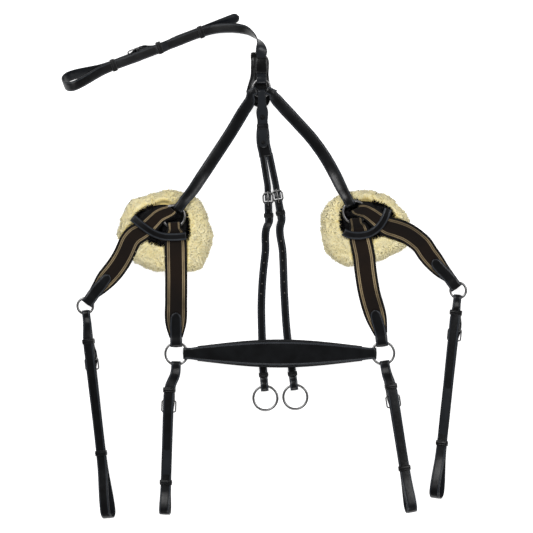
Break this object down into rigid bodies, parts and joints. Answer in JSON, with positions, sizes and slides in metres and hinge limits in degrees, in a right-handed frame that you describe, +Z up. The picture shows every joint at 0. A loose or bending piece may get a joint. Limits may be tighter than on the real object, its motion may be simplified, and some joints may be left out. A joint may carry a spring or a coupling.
{
  "type": "five-point breastplate",
  "caption": "Horse breastplate laid flat: chest ring with pad and belly strap, padded shoulder rings, elastics, withers strap, saddle and girth straps, and a removable rein-ring fork.",
  "frame": {"origin": "middle of the laid-out outline, on the ground it lies on", "axes": "+Y to the chest and belly-strap end, -Y to the saddle and girth straps, +X to the right seen from above, +Z up from the side that faces the horse"},
  "size_m": [0.7296, 0.9102, 0.0441],
  "materials": {
    "black_leather": "semi-matt",
    "lining_leather": "matt",
    "elastic_webbing": "matt",
    "sheepskin": "matt",
    "nickel_steel": "polished"
  },
  "bodies": {
    "base": {"chest_pad": "black_leather", "chest_pad_sleeve": "black_leather", "chest_ring": "nickel_steel", "belly_strap_end": "black_leather", "shoulder_strap_left": "black_leather", "shoulder_ring_left": "nickel_steel", "fleece_pad_left": "sheepskin", "pad_backing_left": "black_leather", "pad_cross_strap_left": "black_leather", "neck_elastic_left": "elastic_webbing", "girth_elastic_left": "elastic_webbing", "shoulder_strap_right": "black_leather", "shoulder_ring_right": "nickel_steel", "fleece_pad_right": "sheepskin", "pad_backing_right": "black_leather", "pad_cross_strap_right": "black_leather", "neck_elastic_right": "elastic_webbing", "girth_elastic_right": "elastic_webbing"},
    "belly": {"belly_strap": "black_leather", "belly_buckle": "nickel_steel", "belly_buckle_chape": "black_leather"},
    "belly_tongue": {"belly_tongue": "nickel_steel"},
    "belly_runner": {"belly_runner": "black_leather"},
    "withers": {"neck_tab_left": "black_leather", "neck_tab_right": "black_leather", "withers_strap_face": "black_leather", "withers_strap_padding": "lining_leather"},
    "withers_ring_left": {"withers_ring_left": "nickel_steel"},
    "saddle_left": {"saddle_strap_left": "black_leather", "saddle_buckle_left": "nickel_steel"},
    "girth_end_left": {"girth_tab_left": "black_leather", "girth_ring_left": "nickel_steel"},
    "billet_left": {"billet_strap_left": "black_leather", "billet_buckle_left": "nickel_steel"},
    "saddle_tongue_left": {"saddle_tongue_left": "nickel_steel"},
    "saddle_runner_left": {"saddle_runner_left": "black_leather"},
    "billet_tongue_left": {"billet_tongue_left": "nickel_steel"},
    "billet_runner_left": {"billet_runner_left": "black_leather"},
    "withers_ring_right": {"withers_ring_right": "nickel_steel"},
    "saddle_right": {"saddle_strap_right": "black_leather", "saddle_buckle_right": "nickel_steel"},
    "girth_end_right": {"girth_tab_right": "black_leather", "girth_ring_right": "nickel_steel"},
    "billet_right": {"billet_strap_right": "black_leather", "billet_buckle_right": "nickel_steel"},
    "saddle_tongue_right": {"saddle_tongue_right": "nickel_steel"},
    "saddle_runner_right": {"saddle_runner_right": "black_leather"},
    "billet_tongue_right": {"billet_tongue_right": "nickel_steel"},
    "billet_runner_right": {"billet_runner_right": "black_leather"},
    "fork": {"martingale_fork": "black_leather", "martingale_buckle_left": "nickel_steel", "martingale_buckle_right": "nickel_steel"},
    "martingale_tongue_left": {"martingale_tongue_left": "nickel_steel"},
    "martingale_left": {"martingale_strap_left": "black_leather", "martingale_keeper_left": "black_leather"},
    "martingale_ring_left": {"martingale_ring_left": "nickel_steel"},
    "martingale_tongue_right": {"martingale_tongue_right": "nickel_steel"},
    "martingale_right": {"martingale_strap_right": "black_leather", "martingale_keeper_right": "black_leather"},
    "martingale_ring_right": {"martingale_ring_right": "nickel_steel"}
  },
  "joints": [
    {"name": "belly_swing", "type": "hinge", "parent": "base", "child": "belly", "pos_m": [-0.00526, 0.37637, 0.014], "axis": [1, 0, 0], "range_deg": [0, 100]},
    {"name": "belly_tongue_turn", "type": "hinge", "parent": "belly", "child": "belly_tongue", "pos_m": [-0.22363, 0.382, 0.0146], "axis": [-0.256, 0.7457, 0.6151], "range_deg": [-60, 0]},
    {"name": "belly_runner_slide", "type": "slide", "parent": "belly", "child": "belly_runner", "axis": [0.9333, 0.3564, -0.0436], "range_m": [0, 0.05]},
    {"name": "neck_stretch", "type": "slide", "parent": "base", "child": "withers", "axis": [0, -1, 0], "range_m": [0, 0.02], "stiffness_N_per_m": 400, "deforming": ["neck_elastic_left", "neck_elastic_right"]},
    {"name": "withers_ring_left_turn", "type": "hinge", "parent": "withers", "child": "withers_ring_left", "pos_m": [-0.15826, -0.15813, 0.0125], "axis": [0, 0, 1], "range_deg": [-8, 8]},
    {"name": "saddle_left_swing", "type": "hinge", "parent": "withers_ring_left", "child": "saddle_left", "pos_m": [-0.17048, -0.17776, 0.0125], "axis": [-0.9995, 0.0314, 0], "range_deg": [-60, 80]},
    {"name": "girth_left_stretch", "type": "slide", "parent": "base", "child": "girth_end_left", "axis": [-0.565, -0.8251, 0], "range_m": [0, 0.025], "stiffness_N_per_m": 400, "deforming": ["girth_elastic_left"]},
    {"name": "billet_left_swing", "type": "hinge", "parent": "girth_end_left", "child": "billet_left", "pos_m": [-0.32263, -0.08637, 0.015], "axis": [-0.9934, -0.1149, 0], "range_deg": [-60, 80]},
    {"name": "saddle_left_tongue_turn", "type": "hinge", "parent": "saddle_left", "child": "saddle_tongue_left", "pos_m": [-0.17176, -0.2428, 0.00907], "axis": [-0.9844, 0.0285, -0.1736], "range_deg": [-60, 0]},
    {"name": "saddle_left_runner_slide", "type": "slide", "parent": "saddle_left", "child": "saddle_runner_left", "axis": [0.0314, 0.9994, -0.014], "range_m": [0, 0.11]},
    {"name": "billet_left_tongue_turn", "type": "hinge", "parent": "billet_left", "child": "billet_tongue_left", "pos_m": [-0.31167, -0.16667, 0.01163], "axis": [-0.9207, -0.1098, -0.3746], "range_deg": [-60, 0]},
    {"name": "billet_left_runner_slide", "type": "slide", "parent": "billet_left", "child": "billet_runner_left", "axis": [-0.1149, 0.9933, -0.0087], "range_m": [0, 0.135]},
    {"name": "withers_ring_right_turn", "type": "hinge", "parent": "withers", "child": "withers_ring_right", "pos_m": [0.21374, -0.15713, 0.0125], "axis": [0, 0, 1], "range_deg": [-8, 4]},
    {"name": "saddle_right_swing", "type": "hinge", "parent": "withers_ring_right", "child": "saddle_right", "pos_m": [0.2222, -0.17604, 0.0125], "axis": [-0.9877, -0.1564, 0], "range_deg": [-60, 80]},
    {"name": "girth_right_stretch", "type": "slide", "parent": "base", "child": "girth_end_right", "axis": [0.5708, -0.8211, 0], "range_m": [0, 0.025], "stiffness_N_per_m": 400, "deforming": ["girth_elastic_right"]},
    {"name": "billet_right_swing", "type": "hinge", "parent": "girth_end_right", "child": "billet_right", "pos_m": [0.34724, -0.05815, 0.015], "axis": [-0.9943, 0.1063, 0], "range_deg": [-60, 80]},
    {"name": "saddle_right_tongue_turn", "type": "hinge", "parent": "saddle_right", "child": "saddle_tongue_right", "pos_m": [0.23046, -0.23402, 0.00901], "axis": [-0.9666, -0.1501, 0.2079], "range_deg": [-60, 0]},
    {"name": "saddle_right_runner_slide", "type": "slide", "parent": "saddle_right", "child": "saddle_runner_right", "axis": [-0.1564, 0.9876, -0.014], "range_m": [0, 0.095]},
    {"name": "billet_right_tongue_turn", "type": "hinge", "parent": "billet_right", "child": "billet_tongue_right", "pos_m": [0.34307, -0.11406, 0.01147], "axis": [-0.9088, 0.0935, -0.4067], "range_deg": [-60, 0]},
    {"name": "billet_right_runner_slide", "type": "slide", "parent": "billet_right", "child": "billet_runner_right", "axis": [0.1063, 0.9943, -0.0087], "range_m": [0, 0.17]},
    {"name": "fork_swing", "type": "hinge", "parent": "base", "child": "fork", "pos_m": [-0.00472, 0.30438, 0.0142], "axis": [-0.9996, -0.03, 0], "range_deg": [-10, 20]},
    {"name": "martingale_left_tongue_turn", "type": "hinge", "parent": "fork", "child": "martingale_tongue_left", "pos_m": [0.00624, 0.13187, 0.0096], "axis": [0.9994, 0.0349, 0], "range_deg": [-60, 0]},
    {"name": "martingale_left_swing", "type": "hinge", "parent": "fork", "child": "martingale_left", "pos_m": [0.00694, 0.11188, 0.00942], "axis": [-0.9994, -0.0349, 0], "range_deg": [-60, 10]},
    {"name": "martingale_ring_left_swing", "type": "hinge", "parent": "martingale_left", "child": "martingale_ring_left", "pos_m": [0.0001, -0.21659, 0.0065], "axis": [0.9971, 0.0761, 0], "range_deg": [-60, 60]},
    {"name": "martingale_right_tongue_turn", "type": "hinge", "parent": "fork", "child": "martingale_tongue_right", "pos_m": [0.02224, 0.13587, 0.0049], "axis": [0.9863, 0.165, 0], "range_deg": [-60, 0]},
    {"name": "martingale_right_swing", "type": "hinge", "parent": "fork", "child": "martingale_right", "pos_m": [0.02554, 0.11614, 0.0049], "axis": [-0.9863, -0.165, 0], "range_deg": [-60, 10]},
    {"name": "martingale_ring_right_swing", "type": "hinge", "parent": "martingale_right", "child": "martingale_ring_right", "pos_m": [0.05311, -0.21469, 0.0065], "axis": [0.9925, 0.1219, 0], "range_deg": [-60, 60]}
  ]
}
